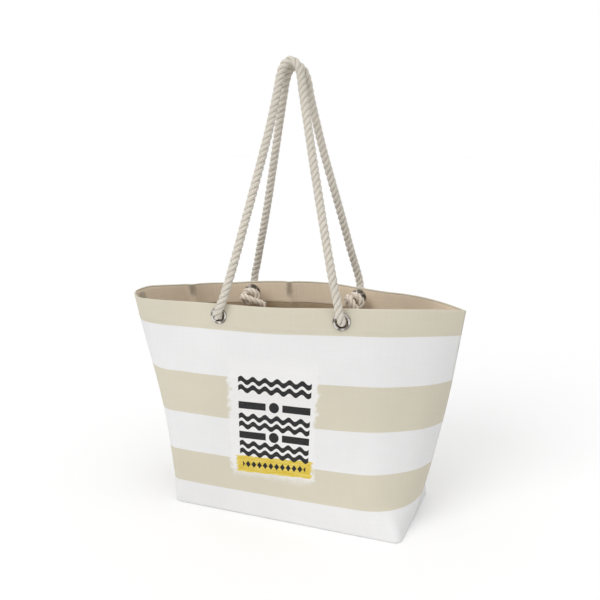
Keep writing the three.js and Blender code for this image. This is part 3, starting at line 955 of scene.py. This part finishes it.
layers = {  # millimetres inside the outer face, and above the floor
    "canvas": 1.6, "facing": (1.9, 3.1), "lining": (1.9, 2.7), "tape": (3.4, 4.2),
    "facingBottom": 278.0, "rows": 66, "columns": 190, "seamGap": 0.00019,
    "rim": 3.1,  # thickness of the canvas turned over the facing at the rim
    "roll": 2.0,  # of the panels under the base
    "tapeHalf": 0.0105,  # share of the way round the bag
    "tapeUps": (13.6, 305.5), "bindingUps": (3.4, 12.4), "liningBottom": 3.3,
    "basePanel": (3.4, 0.1, 1.7), "baseLining": (3.5, 2.15, 2.95),  # inset, bottom, top
}


def asMesh(piece):
    # the piece with its modifiers worked in, as a plain mesh
    evaluated = piece.evaluated_get(bpy.context.evaluated_depsgraph_get())
    done = bpy.data.meshes.new_from_object(evaluated, preserve_all_data_layers=True,
                                           depsgraph=bpy.context.evaluated_depsgraph_get())
    piece.modifiers.clear()
    piece.data = done


def cutEyeletHoles(piece, names):
    radius = eyeletValues["clothHole"]
    for name in names:
        centre, outward = eyelets[name]
        profile = [(0.001, -12), (radius, -12), (radius, 8), (0.001, 8)]
        punch = turnPiece("punch", profile, centre, outward, piece.data.materials[0])
        cut = piece.modifiers.new("hole", "BOOLEAN")
        cut.operation = "DIFFERENCE"
        cut.solver = "EXACT"
        cut.object = punch
        bpy.context.view_layer.update()
        asMesh(piece)
        bpy.data.objects.remove(punch)


def panelProfile(rows):
    # canvas from the base seam up, turned over the facing at the rim
    v = layers
    top, half = bagShape["rimHeight"], v["rim"] / 2
    profile = wallProfile(0.0, v["canvas"], 0.1, top - 1.6, rows, roll=v["roll"])
    outside = profile[:rows + 4]
    inside = [p for p in profile[rows + 4:] if p[0] >= v["canvas"] - 1e-6]
    turns = np.linspace(math.pi, 0, 9)
    over = [(half + half * math.cos(a), top - half + half * math.sin(a)) for a in turns]
    return outside + over + [(v["rim"], top - 1.9), (1.7, top - 2.05)] + inside


for side, start, canvas in (("front", 0.0, frontCanvas), ("back", 0.5, backCanvas)):
    gap = layers["seamGap"]
    span = (start + gap, start + 0.5 - gap)
    names = [f"{side}_left", f"{side}_right"]
    panel = sweepCloth(f"{side}_panel_canvas", canvas, span, layers["columns"],
                       panelProfile(layers["rows"]))
    cutEyeletHoles(panel, names)
    dress(panel, [f"{side}_panel"])
    low, high = layers["facing"]
    facing = sweepCloth(f"{side}_facing_canvas", facingCanvas, span, layers["columns"],
                        wallProfile(low, high, layers["facingBottom"], bagShape["rimHeight"] - 2.3, 8))
    cutEyeletHoles(facing, names)
    dress(facing, [f"{side}_facing"])
    low, high = layers["lining"]
    lining = sweepCloth(f"{side}_lining_cloth", liningCloth, span, layers["columns"],
                        wallProfile(low, high, layers["liningBottom"], layers["facingBottom"] - 0.4, 54))
    dress(lining, [f"{side}_lining"])
print("panels, facings and linings ready")


def layCloth(name, material, inset, bottom, top):
    # a flat sheet across the base, softly uneven on its upper face
    count, rings = 160, 12
    around = np.arange(count) / count
    rim = bagFace(around, 0.0, inset)[:, :2]
    middle = rim.mean(0)
    points, faces = [], []
    for height, wavy in ((bottom, 0.0), (top, 0.25)):
        for k in range(1, rings + 1):
            flat = middle + (rim - middle) * (k / rings)
            swell = wavy * np.sin(flat[:, 0] * 55) * np.cos(flat[:, 1] * 70 + 0.6) * (1 - (k / rings) ** 4)
            points.append(np.column_stack([flat, (height + swell) * mm]))
    points = np.concatenate(points + [[[*middle, bottom * mm]], [[*middle, top * mm]]])
    centres = len(points) - 2, len(points) - 1
    for face in (0, 1):
        base = face * rings * count
        for i in range(count):
            n = (i + 1) % count
            fan = (centres[face], base + i, base + n)
            faces.append(fan if face else fan[::-1])
            for k in range(rings - 1):
                quad = (base + k * count + i, base + (k + 1) * count + i,
                        base + (k + 1) * count + n, base + k * count + n)
                faces.append(quad if face else quad[::-1])
    for i in range(count):
        n = (i + 1) % count
        low, high = (rings - 1) * count, (2 * rings - 1) * count
        faces.append((low + i, low + n, high + n, high + i))
    piece = newPiece(name, points, faces, material)
    writePlace(piece, "clothPlace", points[cornerPoints(piece)][:, :2])
    return piece


dress(layCloth("base_panel_canvas", baseCanvas, *layers["basePanel"]), ["base_panel"])
dress(layCloth("base_lining_cloth", liningCloth, *layers["baseLining"]), ["base_lining"])

for side, seam in (("left", 0.0), ("right", 0.5)):
    span = (seam - layers["tapeHalf"], seam + layers["tapeHalf"])
    tape = sweepCloth(f"{side}_seam_binding", tapeCloth, span, 16,
                      wallProfile(*layers["tape"], *layers["tapeUps"], 54))
    dress(tape, [f"{side}_seam_tape"])
binding = sweepCloth("base_seam_binding", tapeCloth, (0.0, 1.0), 320,
                     wallProfile(*layers["tape"], *layers["bindingUps"], 4))
dress(binding, ["base_seam_tape"])
print("base and bindings ready")


stitchValues = {  # metres
    "Spacing": 0.0036, "Stitch length": 0.0027, "Thread width": 0.0009, "Unevenness": 0.12, "Seed": 3,
}
stitchRows = {  # heights in millimetres, and places as shares of the way round the bag
    "lift": 0.1,  # off the cloth
    "facing": 280.2, "baseBinding": 10.6,
    "besideSeam": 0.0038, "sideUps": (6, 308),
    "onBinding": 0.0085, "bindingUps": (15, 304),
}


def makeStitchTree():
    tree = bpy.data.node_groups.new("stitchRow", "GeometryNodeTree")
    tree.interface.new_socket("Row", in_out="INPUT", socket_type="NodeSocketGeometry")
    for name, value in stitchValues.items():
        kind = "NodeSocketInt" if isinstance(value, int) else "NodeSocketFloat"
        tree.interface.new_socket(name, in_out="INPUT", socket_type=kind).default_value = value
    tree.interface.new_socket("Thread", in_out="INPUT", socket_type="NodeSocketMaterial")
    tree.interface.new_socket("Stitches", in_out="OUTPUT", socket_type="NodeSocketGeometry")
    w = Wiring(tree)
    given = w.node("NodeGroupInput").outputs
    result = w.node("NodeGroupOutput").inputs
    curve = w.fill(w.node("GeometryNodeMeshToCurve"), Mesh=given["Row"])["Curve"]
    spaced = w.node("GeometryNodeResampleCurve", mode="LENGTH")
    spaced = w.fill(spaced, Curve=curve, Length=given["Spacing"])["Curve"]
    bead = w.fill(w.node("GeometryNodeMeshUVSphere"), Segments=6, Rings=5, Radius=0.5)["Mesh"]
    width = given["Thread width"]
    size = w.fill(w.node("ShaderNodeCombineXYZ"), given["Stitch length"], width, width)[0]
    shaped = w.fill(w.node("GeometryNodeTransform"), Geometry=bead, Scale=size)["Geometry"]
    tangent = w.node("GeometryNodeInputTangent").outputs[0]
    facing = w.fill(w.node("FunctionNodeAlignRotationToVector", axis="X"), Vector=tangent)["Rotation"]
    uneven = w.node("FunctionNodeRandomValue", data_type="FLOAT")
    w.plug(uneven.inputs[2], w.minus(1.0, given["Unevenness"]))
    w.plug(uneven.inputs[3], 1.0)
    w.plug(uneven.inputs["Seed"], given["Seed"])
    placed = w.fill(w.node("GeometryNodeInstanceOnPoints"), Points=spaced, Instance=shaped,
                    Rotation=facing, Scale=uneven.outputs[1])["Instances"]
    smooth = w.fill(w.node("GeometryNodeSetShadeSmooth"), Geometry=placed)["Geometry"]
    real = w.fill(w.node("GeometryNodeRealizeInstances"), Geometry=smooth)["Geometry"]
    coloured = w.fill(w.node("GeometryNodeSetMaterial"), Geometry=real, Material=given["Thread"])
    w.plug(result["Stitches"], coloured["Geometry"])
    return tree


stitchTree = makeStitchTree()


def stitchRow(name, points):
    mesh = bpy.data.meshes.new(name)
    mesh.from_pydata([tuple(p) for p in points], [(i, i + 1) for i in range(len(points) - 1)], [])
    mesh.materials.append(paleThread)
    piece = link(bpy.data.objects.new(name, mesh))
    row = piece.modifiers.new("stitches", "NODES")
    row.node_group = stitchTree
    values = {**stitchValues, "Thread": paleThread}
    for item in stitchTree.interface.items_tree:
        if item.in_out == "INPUT" and item.name in values:
            row[item.identifier] = values[item.name]
    bpy.context.view_layer.update()
    asMesh(piece)
    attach(piece, "bag")


def rowRound(span, height, inset):
    return bagFace(np.linspace(*span, 400), height / bagShape["rimHeight"], inset)


def rowUp(around, ups, inset):
    return bagFace(around, np.linspace(*ups, 120) / bagShape["rimHeight"], inset)


outside = -stitchRows["lift"]
onFacing, onTape = (layers[key][1] + stitchRows["lift"] for key in ("facing", "tape"))
for side, start in (("front", 0.0), ("back", 0.5)):
    span = (start + 0.003, start + 0.497)
    stitchRow(f"{side}_hem_stitches", rowRound(span, stitchRows["facing"], outside))
    stitchRow(f"{side}_facing_stitches", rowRound(span, stitchRows["facing"], onFacing))
for side, seam, towards in (("left", 0.0, 1), ("right", 0.5, -1)):
    for label, sign in (("front", towards), ("back", -towards)):
        place, binding = (seam + sign * stitchRows[key] for key in ("besideSeam", "onBinding"))
        stitchRow(f"{side}_side_{label}_stitches", rowUp(place, stitchRows["sideUps"], outside))
        stitchRow(f"{side}_binding_{label}_stitches", rowUp(binding, stitchRows["bindingUps"], onTape))
stitchRow("base_binding_stitches", rowRound((0.0, 0.9995), stitchRows["baseBinding"], onTape))
print("stitches ready")
